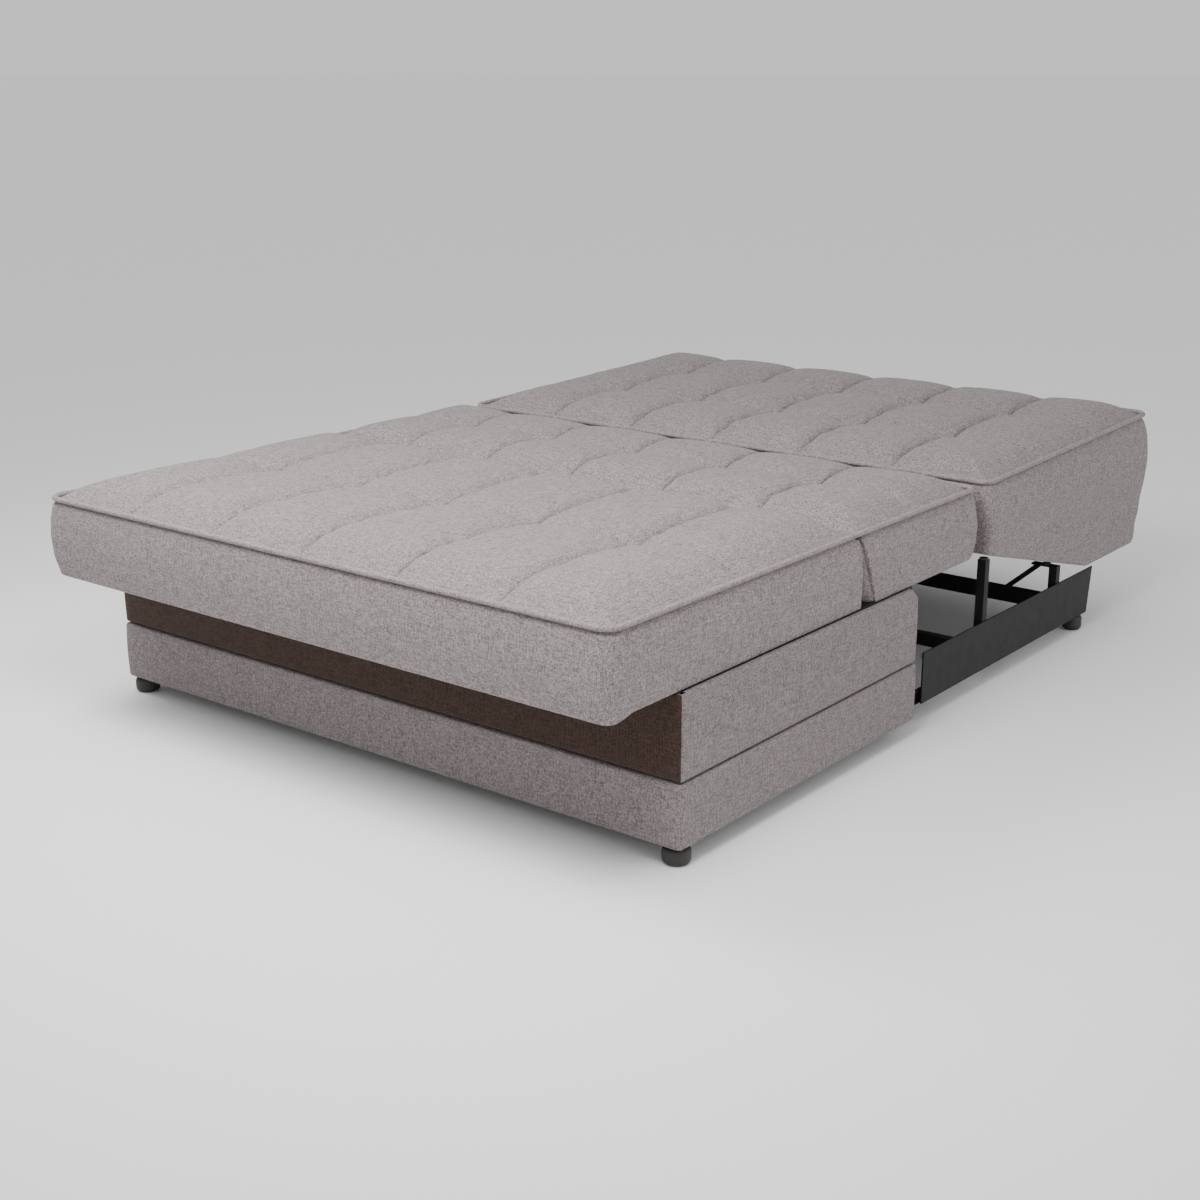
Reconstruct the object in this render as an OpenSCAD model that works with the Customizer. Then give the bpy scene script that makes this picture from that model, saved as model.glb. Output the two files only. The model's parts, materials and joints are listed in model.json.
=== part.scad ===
// Three-panel fold-out sofa bed, drawn flat as a bed.
// The front panel is the seat, the middle panel folds up into a backrest, and the wedge-shaped
// rear panel folds down behind it while a steel support frame slides in under the base.
// +X is right, +Y runs from the front of the bed to its rear, +Z is up.

/* [Bed] */
// Overall length of the flat bed
bed_len = 2032; // [1990:1:2060]
// How far the seat hangs over the front of the base
overhang = 163; // [140:1:180]
// Width of the cushions
cushion_w = 1346; // [1330:1:1360]
// Thickness of the seat and middle panels at their piping
panel_h = 137; // [125:1:145]
// Diameter of the piping cord
piping_d = 10; // [6:1:12]
// Height of the crown of the cushions above their edges
crown_h = 18; // [10:1:25]

/* [Base] */
// Width of the base
base_w = 1370; // [1360:1:1400]
// Depth of the base
base_d = 749; // [740:1:760]
// Height of the front feet
foot_h = 33; // [30:1:35]
// Height of the top of the lower band
lower_top = 144; // [142:1:146]
// Height of the top of the upper band
upper_top = 292; // [286:1:293]
// Shadow gap between the two bands
band_gap = 3; // [2:1:5]
// Thickness of the upholstered front boards
front_t = 20; // [16:1:22]
// Thickness of the lower side boards
side_t = 14; // [12:1:16]

/* [Support frame] */
// Height of the underside of the side rails
rail_z = 38; // [36:1:40]
// Height of the side rail plates
rail_h = 103; // [90:1:105]
// Thickness of the side rail plates
rail_t = 3; // [2:1:4]
// Width of the square steel tubes
tube = 25; // [20:1:25]
// Width of the square posts that carry the rear panel
post = 18; // [16:1:20]
// Wall of the square steel tubes
tube_wall = 1.5; // [1.2:0.1:2]

/* [Hidden] */
$fn = 48;

// Every y below counts from the front face of the base; place() moves it into the bed's frame.
base_y = -bed_len / 2 + overhang;

// Pivot of the middle panel on the seat, and of the rear panel on the middle panel
fold_y = 548;
fold_z = 420;
rear_pivot_y = 1060;
rear_pivot_z = 262;

// Base
half_base = base_w / 2;
inner_x = half_base - side_t;
upper_z = lower_top + band_gap;
upper_half = half_base - 2;
upper_front_y = 3;
upper_round = 14;
top_frame_h = 20;
top_frame_z = upper_top + 4 - top_frame_h;
block = 30;
plate_t = 3;
foot_d = 48;

// Runners: three nested channels on each side, from the base outwards to the rail
runner_z = 52;
runner_len = 660;
runner_y = 60;
runner_outer_y = [front_t, 730];
runner_wall = 1.5;
runner_h = [30, 26, 22];
runner_depth = 12.5;
slide_travel = 798;

// Cushions
panel_z = upper_top + 4;
edge_z = panel_z + panel_h - 5;
crown_z = edge_z + crown_h;
half_cushion = cushion_w / 2;
piping_inset = piping_d / 2 - 0.2;
pocket_half = 655;
frame_top = panel_z + tube;
slat_t = 8;
pocket_top = frame_top + slat_t + 2;
seat_front = -overhang;
rear_end = bed_len - overhang;

// Rear wedge
wedge_front = 1036;
wedge_pipe_end = 1848;
wedge_rise = 20;
wedge_tilt = atan(wedge_rise / (wedge_pipe_end - wedge_front));
wedge_low = 155;
slope_start = [1069, 281];
slope_end = [1548, wedge_low];
wedge_frame_z = 300;
board_t = 12;
bottom_t = 4;

// Support frame
rail_x = 662;
rail_front = 824;
rail_rear = 1590;
rail_slant = 16;
rail_in = rail_x - rail_t;
post_x = rail_in - post;
post_z = 76;
front_post_y = 1072;
rear_post_y = 1420;
front_post_top = top_frame_z - 7;
rear_post_top = 175;
post_plate = [600, rail_in];
post_plate_t = 4;
pad_h = 3;
cross_bar_y = rear_post_y + post;
pullout_foot_x = 640;
pullout_foot_y = 1569;
pullout_foot_d = 42;

// Root gap that a weld bead bridges, so that each tube stays a solid of its own
weld_gap = 0.3;

cloth = [0.63, 0.59, 0.56];
brown_cloth = [0.34, 0.28, 0.25];
black = [0.13, 0.12, 0.12];
zinc = [0.55, 0.55, 0.56];
timber = [0.72, 0.58, 0.4];
steel_grey = [0.35, 0.36, 0.38];

// ---- helpers -------------------------------------------------------------------------------

module place() translate([0, base_y, 0]) children();

// Draws its children, made for the right side, on the side s: 1 is right, -1 is left.
module on_side(s) mirror([s < 0 ? 1 : 0, 0, 0]) children();

module both_sides() {
    on_side(1) children();
    on_side(-1) children();
}

// A box between two corners
module span(x, y, z) translate([x[0], y[0], z[0]]) cube([x[1] - x[0], y[1] - y[0], z[1] - z[0]]);

// Extrudes an outline of [y, z] points between two x positions
module along_x(x0, x1) translate([x0, 0, 0]) rotate([90, 0, 90]) linear_extrude(x1 - x0) children();

// Square tubes by the direction they run in, given the two ends and the low corner
module tube_x(x0, x1, y, z, h = tube)
    difference() {
        span([x0, x1], [y, y + tube], [z, z + h]);
        span([x0 - 1, x1 + 1], [y + tube_wall, y + tube - tube_wall], [z + tube_wall, z + h - tube_wall]);
    }

module tube_y(y0, y1, x, z, h = tube)
    difference() {
        span([x, x + tube], [y0, y1], [z, z + h]);
        span([x + tube_wall, x + tube - tube_wall], [y0 - 1, y1 + 1], [z + tube_wall, z + h - tube_wall]);
    }

module tube_z(z0, z1, x, y, w)
    difference() {
        span([x, x + w], [y, y + w], [z0, z1]);
        span([x + tube_wall, x + w - tube_wall], [y + tube_wall, y + w - tube_wall], [z0 - 1, z1 + 1]);
    }

// A frame of two side tubes and cross tubes at the listed y positions, as separate tubes
module tube_frame(half, y0, y1, z, crosses) {
    both_sides() tube_y(y0, y1, half - tube, z);
    for (y = crosses) tube_x(tube + weld_gap - half, half - tube - weld_gap, y, z);
}

// Slats across a frame, evenly spread between two y positions
module slats(half, y0, y1, z, count, w = 60)
    for (i = [0 : count - 1])
        span([-half, half], [y0 + i * (y1 - y0 - w) / (count - 1), y0 + i * (y1 - y0 - w) / (count - 1) + w],
            [z, z + slat_t]);

// Plan of a cushion with round corners at its front (r0) and rear (r1), between y0 and y1
module plan(y0, y1, half, r0, r1) {
    difference() {
        translate([-half, y0]) square([2 * half, y1 - y0]);
        for (s = [-1, 1]) {
            corner_cut(s, half, y0, r0, 1);
            corner_cut(s, half, y1, r1, -1);
        }
    }
}

// What a round corner of radius r takes away; dir is 1 at the front and -1 at the rear
module corner_cut(s, half, y, r, dir)
    if (r > 0)
        translate([s * (half - r), y + dir * r])
            difference() {
                translate([s > 0 ? 0 : -r - 1, dir > 0 ? -r - 1 : 0]) square(r + 1);
                circle(r);
            }

// A cushion body: side outline cut to its plan
module cushion_block(outline, y0, y1, half, r0, r1)
    intersection() {
        along_x(-half, half) polygon(outline);
        linear_extrude(600) plan(y0, y1, half, r0, r1);
    }

// Piping along both sides and one end of a cushion; the bend has radius r
module piping_u(y_open, y_bend, half, r) {
    dir = y_bend > y_open ? 1 : -1;
    both_sides() {
        translate([half, y_open, 0]) rotate([dir > 0 ? -90 : 90, 0, 0])
            cylinder(d = piping_d, h = abs(y_bend - y_open) - r);
        translate([half - r, y_bend - dir * r, 0]) rotate([0, 0, dir > 0 ? 0 : -90])
            rotate_extrude(angle = 90) translate([r, 0]) circle(d = piping_d);
    }
    translate([r - half, y_bend, 0]) rotate([0, 90, 0]) cylinder(d = piping_d, h = 2 * (half - r));
}

// A round rubber-tipped foot standing on the floor
module foot(d, h) {
    translate([0, 0, 6]) cylinder(d = d, h = h - 6);
    cylinder(d1 = d - 14, d2 = d, h = 6);
}

module pivot_hole(y, z, r) translate([-1, y, z]) rotate([0, 90, 0]) cylinder(r = r, h = 20);

// ---- base box --------------------------------------------------------------------------------

module lower_front_panel() place() color(cloth)
    span([-half_base, half_base], [0, front_t], [foot_h, lower_top]);

module lower_side(s) place() color(cloth) on_side(s)
    span([inner_x, half_base], [front_t, base_d], [foot_h, lower_top]);

module upper_front_panel() place() color(brown_cloth)
    span([-upper_half, upper_half], [upper_front_y, upper_front_y + front_t - 2], [upper_z, upper_top]);

module upper_side(s) place() color(cloth) on_side(s)
    along_x(inner_x, upper_half) difference() {
        translate([upper_front_y + front_t - 2, upper_z])
            square([base_d - upper_front_y - front_t + 2, upper_top - upper_z]);
        translate([base_d - upper_round, upper_top - upper_round]) difference() {
            square(upper_round + 1);
            circle(upper_round);
        }
    }

module corner_blocks() place() color(timber) both_sides()
    span([inner_x - block, inner_x], [front_t + 1, front_t + 1 + block], [upper_z + 3, top_frame_z]);

module joining_plates() place() color(zinc) both_sides() {
    span([inner_x - plate_t, inner_x], [front_t + 2, front_t + 32], [60, upper_z + 3]);
    span([inner_x - plate_t, inner_x], [722, 746], [60, top_frame_z]);
}

module band_screws() place() color(zinc) both_sides()
    for (y = [front_t + 16, 734], z = [75, 132])
        translate([inner_x - plate_t - 1.5, y, z]) rotate([0, 90, 0]) cylinder(d = 9, h = 1.5);

module base_top_frame() place() color(black) {
    both_sides() tube_y(front_t + 1, 745, inner_x - tube, top_frame_z, top_frame_h);
    for (y = [front_t + 1, 345, 745 - tube])
        tube_x(tube + weld_gap - inner_x, inner_x - tube - weld_gap, y, top_frame_z, top_frame_h);
}

module rear_strap() place() color(black)
    span([-inner_x, inner_x], [690, 730], [foot_h, foot_h + 4]);

module front_foot(s) place() color(black) on_side(s)
    translate([half_base - 26, 27, 0]) foot(foot_d, foot_h);

module rear_foot(s) place() color(black) on_side(s)
    translate([540, 710, 0]) foot(foot_d, foot_h);

// ---- telescopic runners ------------------------------------------------------------------------

// A channel of height h with its web at one end of x and its open side at the other.
// web_first puts the web at the lower x.
module channel(x, y, h, web_first)
    difference() {
        span(x, y, [runner_z - h / 2, runner_z + h / 2]);
        span(web_first ? [x[0] + runner_wall, x[1] + 1] : [x[0] - 1, x[1] - runner_wall],
            [y[0] - 1, y[1] + 1],
            [runner_z - h / 2 + runner_wall, runner_z + h / 2 - runner_wall]);
    }

module runner_outer(s) place() color(black) on_side(s)
    channel([rail_in - runner_depth, rail_in - 2.5], runner_outer_y, runner_h[0], true);

module runner_middle(s) place() color(black) on_side(s)
    channel([rail_in - runner_depth + 2, rail_in - 2.5],
        [runner_y + slide_travel / 2, runner_y + slide_travel / 2 + runner_len], runner_h[1], true);

module runner_inner(s) place() color(black) on_side(s)
    channel([rail_in - 8.5, rail_in],
        [runner_y + slide_travel, runner_y + slide_travel + runner_len], runner_h[2], false);

// ---- seat (front panel) ------------------------------------------------------------------------

module seat_frame() place() color(steel_grey)
    tube_frame(650, -130, 538, panel_z, [-130, 180, 538 - tube]);

module seat_slats() place() color(timber) slats(646, -120, 520, frame_top, 6);

module seat_cushion() place() color(cloth) difference() {
    union() {
        cushion_block([[seat_front, panel_z + 4], [seat_front + 5, panel_z - 15], [seat_front + 58, panel_z],
            [fold_y + 12, panel_z], [fold_y - 3, fold_z + 1], [fold_y - 11, edge_z], [seat_front, edge_z]],
            seat_front, fold_y + 12, half_cushion, 38, 0);
        cushion_block([[seat_front + 10, edge_z], [fold_y - 11, edge_z], [fold_y - 24, edge_z + 12],
            [fold_y - 43, crown_z], [seat_front + 34, crown_z], [seat_front + 10, edge_z + 8]],
            seat_front + 10, fold_y, half_cushion - 10, 28, 0);
    }
    span([-pocket_half, pocket_half], [-132, 540], [0, pocket_top]);
    both_sides() hinge_slot(440, fold_y + 20);
}

// Room beside the foam for the hinge plates
module hinge_slot(y0, y1) {
    span([645, pocket_half], [y0, y1], [0, fold_z]);
    translate([638, fold_y, fold_z]) rotate([0, 90, 0]) cylinder(r = 10, h = pocket_half - 638);
}

module seat_piping() place() color(cloth)
    translate([0, 0, edge_z + 5.2]) piping_u(fold_y - 18, seat_front + piping_inset, half_cushion - piping_inset, 33);

// Plate that rises from the seat frame to the fold pivot
module seat_hinge_plate(s) place() color(zinc) on_side(s)
    difference() {
        along_x(650, 654) {
            polygon([[450, panel_z + 4], [536, panel_z + 4], [fold_y + 6, fold_z - 4], [fold_y - 7.5, fold_z + 2]]);
            translate([fold_y, fold_z]) circle(8);
        }
        translate([650, 0, 0]) pivot_hole(fold_y, fold_z, 4.02);
    }

module fold_pins() place() color(zinc) both_sides() {
    translate([642, fold_y, fold_z]) rotate([0, 90, 0]) cylinder(r = 4, h = 12.5);
    translate([640, fold_y, fold_z]) rotate([0, 90, 0]) cylinder(r = 7, h = 2);
}

// ---- middle panel ------------------------------------------------------------------------------

module middle_frame() place() color(steel_grey)
    tube_frame(645.7, 624, 980, panel_z, [624, 980 - tube]);

module middle_slats() place() color(timber) slats(641, 640, 970, frame_top, 4);

module middle_cushion() place() color(cloth) difference() {
    union() {
        cushion_block([[fold_y + 64, panel_z], [994, panel_z], [1008, panel_z + 20], [1001, panel_z + 73],
            [992, panel_z + 114], [988, edge_z], [fold_y + 11, edge_z], [fold_y + 3, fold_z + 1]],
            fold_y, 1008, half_cushion, 0, 24);
        cushion_block([[fold_y + 11, edge_z], [978, edge_z], [978, edge_z + 8], [958, crown_z],
            [fold_y + 43, crown_z], [fold_y + 24, edge_z + 12]],
            fold_y, 978, half_cushion - 10, 0, 18);
    }
    span([-pocket_half, pocket_half], [622, 982], [0, pocket_top]);
    both_sides() hinge_slot(fold_y - 20, 700);
}

module middle_piping() place() color(cloth)
    translate([0, 0, edge_z + 5.2]) piping_u(fold_y + 18, 988 - piping_inset, half_cushion - piping_inset, 22);

module fold_hinge_plate(s) place() color(zinc) on_side(s)
    difference() {
        along_x(645.7, 649.7) {
            polygon([[628, panel_z + 4], [700, panel_z + 4], [fold_y + 7.5, fold_z + 3], [fold_y - 6, fold_z - 5.5]]);
            translate([fold_y, fold_z]) circle(8);
        }
        translate([645.7, 0, 0]) pivot_hole(fold_y, fold_z, 4.06);
    }

// Arm that reaches back under the middle panel to the rear pivot
module rear_hinge_arm(s) place() color(black) on_side(s)
    difference() {
        along_x(560, 564) {
            polygon([[930, panel_z], [1000, panel_z], [rear_pivot_y + 6, rear_pivot_z + 10],
                [rear_pivot_y - 4, rear_pivot_z - 11.3], [rear_pivot_y - 20, rear_pivot_z - 6], [930, panel_z - 10]]);
            translate([rear_pivot_y, rear_pivot_z]) circle(12);
        }
        translate([560, 0, 0]) pivot_hole(rear_pivot_y, rear_pivot_z, 5.02);
    }

module rear_hinge_pins() place() color(zinc) both_sides() {
    translate([560, rear_pivot_y, rear_pivot_z]) rotate([0, 90, 0]) cylinder(r = 5, h = 12);
    translate([557, rear_pivot_y, rear_pivot_z]) rotate([0, 90, 0]) cylinder(r = 8, h = 3);
}

// ---- rear panel (wedge) ------------------------------------------------------------------------

module wedge_frame() place() color(steel_grey)
    tube_frame(640, 1085, 1800, wedge_frame_z, [1085, 1430, 1800 - tube]);

module wedge_slats() place() color(timber) slats(636, 1095, 1780, wedge_frame_z + tube, 7);

// Height of the sloping underside at y
function slope_z(y) = slope_start[1]
    - (y - slope_start[0]) * (slope_start[1] - slope_end[1]) / (slope_end[0] - slope_start[0]);

module wedge_board(s) place() color(timber) on_side(s)
    along_x(640 - board_t, 640)
        polygon([[1088, wedge_frame_z], [1088, slope_z(1088) + bottom_t + 0.2],
            [slope_end[0] + 0.5, wedge_low + bottom_t], [1800, wedge_low + bottom_t], [1800, wedge_frame_z]]);

module wedge_end_board() place() color(timber)
    span([board_t - 640, 640 - board_t], [1800 - board_t, 1800], [wedge_low + bottom_t, wedge_frame_z]);

module wedge_bottom_board() place() color(black)
    along_x(-650, 650)
        polygon([[1080, slope_z(1080)], slope_end, [1805, wedge_low], [1805, wedge_low + bottom_t],
            [slope_end[0] + 0.5, wedge_low + bottom_t], [1080, slope_z(1080) + bottom_t]]);

module wedge_cushion() place() color(cloth) difference() {
    union() {
        cushion_block([slope_start, slope_end, [1826, wedge_low], [1836, 271], [1860, 312],
            [rear_end, 355], [1858, 411], [wedge_pipe_end, edge_z + wedge_rise], [wedge_front, edge_z],
            [1042, 400], [1058, 357]],
            wedge_front, rear_end, half_cushion, 20, 30);
        cushion_block([[wedge_front + 10, edge_z + 0.3], [wedge_pipe_end - 12, edge_z + wedge_rise - 0.3],
            [wedge_pipe_end - 12, edge_z + wedge_rise + 8], [1812, crown_z + wedge_rise - 2],
            [1070, crown_z + 2], [wedge_front + 10, edge_z + 8]],
            wedge_front + 10, wedge_pipe_end - 12, half_cushion - 10, 14, 20);
    }
    along_x(-pocket_half + 4, pocket_half - 4)
        polygon([[1079, wedge_frame_z + tube + slat_t + 2], [1079, slope_z(1079) - 3],
            [slope_end[0], wedge_low - 1], [1806, wedge_low - 1], [1806, wedge_frame_z + tube + slat_t + 2]]);
}

// A closed loop of piping lying in a plane that rises slightly towards the rear
module wedge_piping() place() color(cloth)
    translate([0, wedge_front, edge_z + 5.4]) rotate([wedge_tilt, 0, 0]) translate([0, -wedge_front, 0]) {
        mid = (wedge_front + wedge_pipe_end) / 2;
        piping_u(mid, wedge_front + piping_inset, half_cushion - piping_inset, 18);
        piping_u(mid, wedge_pipe_end - piping_inset - 1, half_cushion - piping_inset, 24);
    }

module rear_hinge_leaves() place() color(black) both_sides()
    difference() {
        along_x(564.3, 568.3) {
            polygon([[slope_start[0] + 3, slope_z(slope_start[0] + 3)], [1090, slope_z(1090)],
                [1090, rear_pivot_z], [rear_pivot_y + 6, rear_pivot_z - 10], [rear_pivot_y, rear_pivot_z + 11]]);
            translate([rear_pivot_y, rear_pivot_z]) circle(12);
        }
        translate([564.3, 0, 0]) pivot_hole(rear_pivot_y, rear_pivot_z, 5.06);
    }

// ---- pull-out support frame --------------------------------------------------------------------

module side_rail(s) place() color(black) on_side(s) {
    along_x(rail_x - rail_t, rail_x)
        polygon([[rail_front, rail_z], [rail_rear, rail_z], [rail_rear + rail_slant, rail_z + rail_h],
            [rail_front, rail_z + rail_h]]);
    span([590, rail_in], [1548, rail_rear], [rail_z, rail_z + rail_t]);
}

module front_cross_bar() place() color(black) {
    span([-rail_in, rail_in], [930, 933], [117, 141]);
    span([-rail_in, rail_in], [933, 950], [138, 141]);
}

module rear_cross_bar() place() color(black)
    span([-rail_in, rail_in], [cross_bar_y, cross_bar_y + 4], [75, 112]);

module front_posts() place() color(black) both_sides()
    tube_z(post_z, front_post_top, post_x, front_post_y, post);

module rear_posts() place() color(black) both_sides()
    tube_z(post_z, rear_post_top, post_x, rear_post_y, post);

// Flat plates on the rear posts, reaching inwards over the braces
module rear_post_plates() place() color(black) both_sides()
    span(post_plate, [rear_post_y, cross_bar_y], [rear_post_top, rear_post_top + post_plate_t]);

// Flat bars leaning from the face of the cross bar out to the underside of the post plates
module corner_braces() place() color(black) both_sides()
    translate([0, cross_bar_y, 0]) rotate([90, 0, 0]) linear_extrude(4)
        polygon([[509, 90], [525, 90], [621, rear_post_top], [605, rear_post_top]]);

module support_pads() place() color(black) both_sides() {
    translate([post_x + post / 2, front_post_y + post / 2, front_post_top]) cylinder(d = post, h = pad_h);
    translate([post_x - 10, rear_post_y + post / 2, rear_post_top + post_plate_t])
        cylinder(d = post, h = pad_h);
}

module pullout_foot(s) place() color(black) on_side(s)
    translate([pullout_foot_x, pullout_foot_y, 0]) foot(pullout_foot_d, rail_z);

module rail_bolts() place() color(zinc) both_sides() {
    for (p = [[835, 131], [875, 95], [rear_post_y - 25, 120]])
        translate([rail_in - 7, p[0], p[1]]) rotate([0, 90, 0]) cylinder(d = 11, h = 7, $fn = 6);
}

// ---- nodes -------------------------------------------------------------------------------------

lower_front_panel();
lower_side(-1);  // lower_side_left
lower_side(1);  // lower_side_right
upper_front_panel();
upper_side(-1);  // upper_side_left
upper_side(1);  // upper_side_right
corner_blocks();
joining_plates();
band_screws();
base_top_frame();
rear_strap();
front_foot(-1);  // front_foot_left
front_foot(1);  // front_foot_right
rear_foot(-1);  // rear_foot_left
rear_foot(1);  // rear_foot_right
runner_outer(-1);  // runner_outer_left
runner_outer(1);  // runner_outer_right
seat_frame();
seat_slats();
seat_cushion();
seat_piping();
seat_hinge_plate(-1);  // seat_hinge_plate_left
seat_hinge_plate(1);  // seat_hinge_plate_right
fold_pins();
runner_middle(-1);  // runner_middle_left
runner_middle(1);  // runner_middle_right
middle_frame();
middle_slats();
middle_cushion();
middle_piping();
fold_hinge_plate(-1);  // fold_hinge_plate_left
fold_hinge_plate(1);  // fold_hinge_plate_right
rear_hinge_arm(-1);  // rear_hinge_arm_left
rear_hinge_arm(1);  // rear_hinge_arm_right
rear_hinge_pins();
wedge_frame();
wedge_slats();
wedge_board(-1);  // wedge_board_left
wedge_board(1);  // wedge_board_right
wedge_end_board();
wedge_bottom_board();
wedge_cushion();
wedge_piping();
rear_hinge_leaves();
side_rail(-1);  // side_rail_left
side_rail(1);  // side_rail_right
runner_inner(-1);  // runner_inner_left
runner_inner(1);  // runner_inner_right
front_cross_bar();
rear_cross_bar();
front_posts();
rear_posts();
rear_post_plates();
corner_braces();
support_pads();
pullout_foot(-1);  // pullout_foot_left
pullout_foot(1);  // pullout_foot_right
rail_bolts();
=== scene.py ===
import bmesh
import bpy
import json
import math
import numpy as np
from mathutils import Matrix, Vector


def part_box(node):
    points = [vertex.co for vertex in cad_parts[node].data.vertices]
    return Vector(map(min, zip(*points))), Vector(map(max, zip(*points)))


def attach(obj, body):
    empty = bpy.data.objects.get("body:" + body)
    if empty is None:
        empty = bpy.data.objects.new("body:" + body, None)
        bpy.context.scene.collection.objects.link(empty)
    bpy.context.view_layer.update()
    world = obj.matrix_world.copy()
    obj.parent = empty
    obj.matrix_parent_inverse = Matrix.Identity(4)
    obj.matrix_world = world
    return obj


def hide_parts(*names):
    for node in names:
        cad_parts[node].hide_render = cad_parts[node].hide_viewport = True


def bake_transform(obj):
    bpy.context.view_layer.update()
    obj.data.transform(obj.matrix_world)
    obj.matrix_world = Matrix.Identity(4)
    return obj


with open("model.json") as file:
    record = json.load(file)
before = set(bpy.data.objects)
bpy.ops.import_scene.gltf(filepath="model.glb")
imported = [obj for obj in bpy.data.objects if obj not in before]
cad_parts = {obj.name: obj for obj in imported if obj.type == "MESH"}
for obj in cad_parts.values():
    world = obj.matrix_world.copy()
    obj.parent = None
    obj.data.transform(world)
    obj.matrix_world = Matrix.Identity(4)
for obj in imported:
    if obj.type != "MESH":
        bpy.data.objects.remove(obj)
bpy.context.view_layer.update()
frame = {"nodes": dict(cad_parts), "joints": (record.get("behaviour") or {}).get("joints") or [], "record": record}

# ---- places worked out from the frame, and shared sizes, in metres -------------------------------

BASE_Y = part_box("lower_front_panel")[0][1]          # front face of the base
HALF_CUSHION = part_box("seat_cushion")[1][0]
HALF_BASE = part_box("lower_front_panel")[1][0]
SEAT_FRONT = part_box("seat_cushion")[0][1]
PANEL_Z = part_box("seat_frame")[0][2]                # underside of the cushions
PIPE_R = (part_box("seat_piping")[1][2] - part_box("seat_piping")[0][2]) / 2
EDGE_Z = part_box("seat_piping")[0][2]                # where top and boxing are sewn together
WEDGE_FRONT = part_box("wedge_cushion")[0][1]
WEDGE_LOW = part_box("wedge_bottom_board")[0][2]
FOLD = next(joint for joint in frame["joints"] if joint["name"] == "back_fold")
FOLD_Y = FOLD["pos_m"][1]
FOLD_Z = FOLD["pos_m"][2]
FOLD_GAP = 0.003                                    # the covers end this far before and behind the fold
PIPE_INSET = 0.0035                                 # piping centre, in from the side of the boxing
PIPE_LIFT = 0.0055                                  # piping centre, up from the seam
FOLD_PIPE = 0.018                                   # the piping within this of the fold is made as separate pieces
COLUMNS = 6                                         # biscuits across every panel
CLOTH_THICKNESS = 0.0015                            # the loose cloth at the fold
HARD_EDGE = 0.0006                                  # bevel on steel, wood and plastic edges
ON_LINE = 1e-6                                      # a grid point this near to a line lies on it

# ---- camera and lights ---------------------------------------------------------------------------


def aim(obj, azimuth, elevation):
    """Turns a camera to look back from azimuth (0 is the front, 90 the right), tilted down by elevation."""
    a = math.radians(azimuth)
    e = math.radians(elevation)
    look = Vector((-math.sin(a) * math.cos(e), math.cos(a) * math.cos(e), -math.sin(e)))
    obj.rotation_mode = "QUATERNION"
    obj.rotation_quaternion = look.to_track_quat("-Z", "Y")


def make_camera():
    """The photograph's viewing angle, fitted to the straight edges of the bed."""
    data = bpy.data.cameras.new("camera")
    data.lens = 53.34
    data.sensor_width = 36
    cam = bpy.data.objects.new("camera", data)
    bpy.context.collection.objects.link(cam)
    cam.location = (2.161, -2.933, 1.2125)
    aim(cam, azimuth=38.17, elevation=16.75)
    bpy.context.scene.camera = cam


def area_light(name, place, target, size, watts, colour=(1, 1, 1)):
    """A rectangular lamp that shines from place towards target and stays out of the camera's sight."""
    data = bpy.data.lights.new(name, "AREA")
    data.shape = "RECTANGLE"
    data.size, data.size_y = size
    data.energy = watts
    data.color = colour
    lamp = bpy.data.objects.new(name, data)
    bpy.context.collection.objects.link(lamp)
    lamp.location = place
    lamp.visible_camera = False
    lamp.rotation_mode = "QUATERNION"
    lamp.rotation_quaternion = (Vector(target) - Vector(place)).to_track_quat("-Z", "Y")


def make_lights():
    world = bpy.data.worlds.new("studio")
    world.use_nodes = True
    world.node_tree.nodes["Background"].inputs["Color"].default_value = (1, 1, 1, 1)
    world.node_tree.nodes["Background"].inputs["Strength"].default_value = 0.8
    bpy.context.scene.world = world
    area_light("key_softbox", place=(-0.7, -1.2, 1.6), target=(0, -0.3, 0.4), size=(0.8, 0.8), watts=27)
    area_light("front_softbox", place=(0.7, -1.3, 1.7), target=(0.3, -0.7, 0.4), size=(0.8, 0.8), watts=27)
    area_light("side_softbox", place=(3.6, 0.4, 1.2), target=(0, 0.2, 0.3), size=(2.2, 2.0), watts=21,
               colour=(1, 0.985, 0.97))


def make_floor():
    far = 200
    mesh = bpy.data.meshes.new("floor")
    mesh.from_pydata([(-far, -far, 0), (far, -far, 0), (far, far, 0), (-far, far, 0)], [], [(0, 1, 2, 3)])
    floor = bpy.data.objects.new("floor", mesh)
    bpy.context.collection.objects.link(floor)
    mat = bpy.data.materials.new("floor")
    mat.use_nodes = True
    shader = mat.node_tree.nodes["Principled BSDF"]
    shader.inputs["Base Color"].default_value = (0.95, 0.95, 0.95, 1)
    shader.inputs["Roughness"].default_value = 0.9
    mesh.materials.append(mat)


# ---- material building blocks ----------------------------------------------------------------------


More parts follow.
